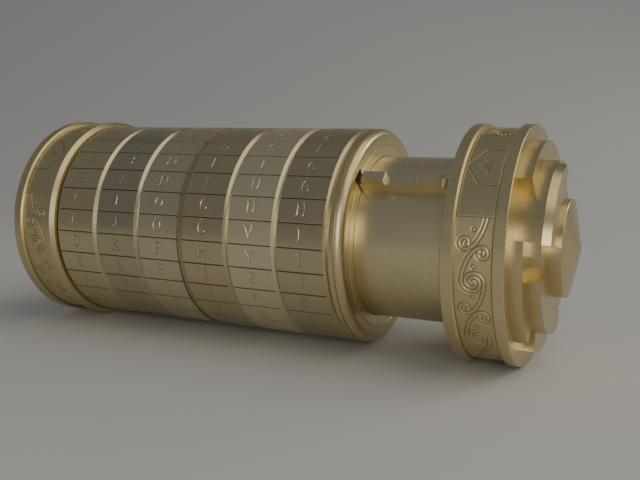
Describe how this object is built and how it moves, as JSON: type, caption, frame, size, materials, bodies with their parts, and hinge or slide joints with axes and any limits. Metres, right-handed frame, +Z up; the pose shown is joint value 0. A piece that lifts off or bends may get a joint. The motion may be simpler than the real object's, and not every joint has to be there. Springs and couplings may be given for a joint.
{
  "type": "cryptex",
  "caption": "Cylindrical letter-lock puzzle box: lettered rings turn on a slotted barrel, and a toothed core tube that holds a note slides out when they line up.",
  "frame": {"origin": "on the surface it lies on, under the middle of its length, directly below the axis", "axes": "+X along the axis from the closed end to the core's cap, +Z up, the reading line faces -Y and up"},
  "size_m": [0.1814, 0.07, 0.07],
  "materials": {
    "flange_brass": "satin, aged",
    "relief_brass": "cast, patinated",
    "dial_brass": "satin, aged",
    "lock_brass": "turned",
    "core_brass": "drawn tube, dull",
    "rosette_brass": "satin, aged",
    "steel": "turned"
  },
  "bodies": {
    "barrel": {"left_cap": "flange_brass", "left_relief": "relief_brass", "left_pointer": "flange_brass", "barrel_sleeve": "core_brass", "stack_washer": "core_brass", "end_ring": "flange_brass"},
    "dial_1": {"letter_ring_1": "dial_brass", "lock_ring_1": "lock_brass", "index_pin_1": "steel"},
    "dial_2": {"letter_ring_2": "dial_brass", "lock_ring_2": "lock_brass", "index_pin_2": "steel"},
    "dial_3": {"letter_ring_3": "dial_brass", "lock_ring_3": "lock_brass", "index_pin_3": "steel"},
    "dial_4": {"letter_ring_4": "dial_brass", "lock_ring_4": "lock_brass", "index_pin_4": "steel"},
    "dial_5": {"letter_ring_5": "dial_brass", "lock_ring_5": "lock_brass", "index_pin_5": "steel"},
    "dial_6": {"letter_ring_6": "dial_brass", "lock_ring_6": "lock_brass", "index_pin_6": "steel"},
    "core": {"core_tube": "core_brass", "key_rail": "core_brass", "rail_screws": "steel", "core_plug": "core_brass", "right_cap": "flange_brass", "right_relief": "relief_brass", "right_pointer": "flange_brass", "rosette_layer_1": "rosette_brass", "rosette_layer_2": "rosette_brass", "rosette_layer_3": "rosette_brass", "rosette_hub": "rosette_brass", "rosette_stud": "steel"}
  },
  "joints": [
    {"name": "core_slide", "type": "slide", "parent": "barrel", "child": "core", "axis": [1, 0, 0], "range_m": [-0.0285, 0.083]},
    {"name": "dial_1_turn", "type": "hinge", "parent": "barrel", "child": "dial_1", "pos_m": [-0.06502, 0, 0.035], "axis": [1, 0, 0], "continuous": true},
    {"name": "dial_2_turn", "type": "hinge", "parent": "barrel", "child": "dial_2", "pos_m": [-0.04842, 0, 0.035], "axis": [1, 0, 0], "continuous": true},
    {"name": "dial_3_turn", "type": "hinge", "parent": "barrel", "child": "dial_3", "pos_m": [-0.03182, 0, 0.035], "axis": [1, 0, 0], "continuous": true},
    {"name": "dial_4_turn", "type": "hinge", "parent": "barrel", "child": "dial_4", "pos_m": [-0.01522, 0, 0.035], "axis": [1, 0, 0], "continuous": true},
    {"name": "dial_5_turn", "type": "hinge", "parent": "barrel", "child": "dial_5", "pos_m": [0.00138, 0, 0.035], "axis": [1, 0, 0], "continuous": true},
    {"name": "dial_6_turn", "type": "hinge", "parent": "barrel", "child": "dial_6", "pos_m": [0.01798, 0, 0.035], "axis": [1, 0, 0], "continuous": true}
  ]
}
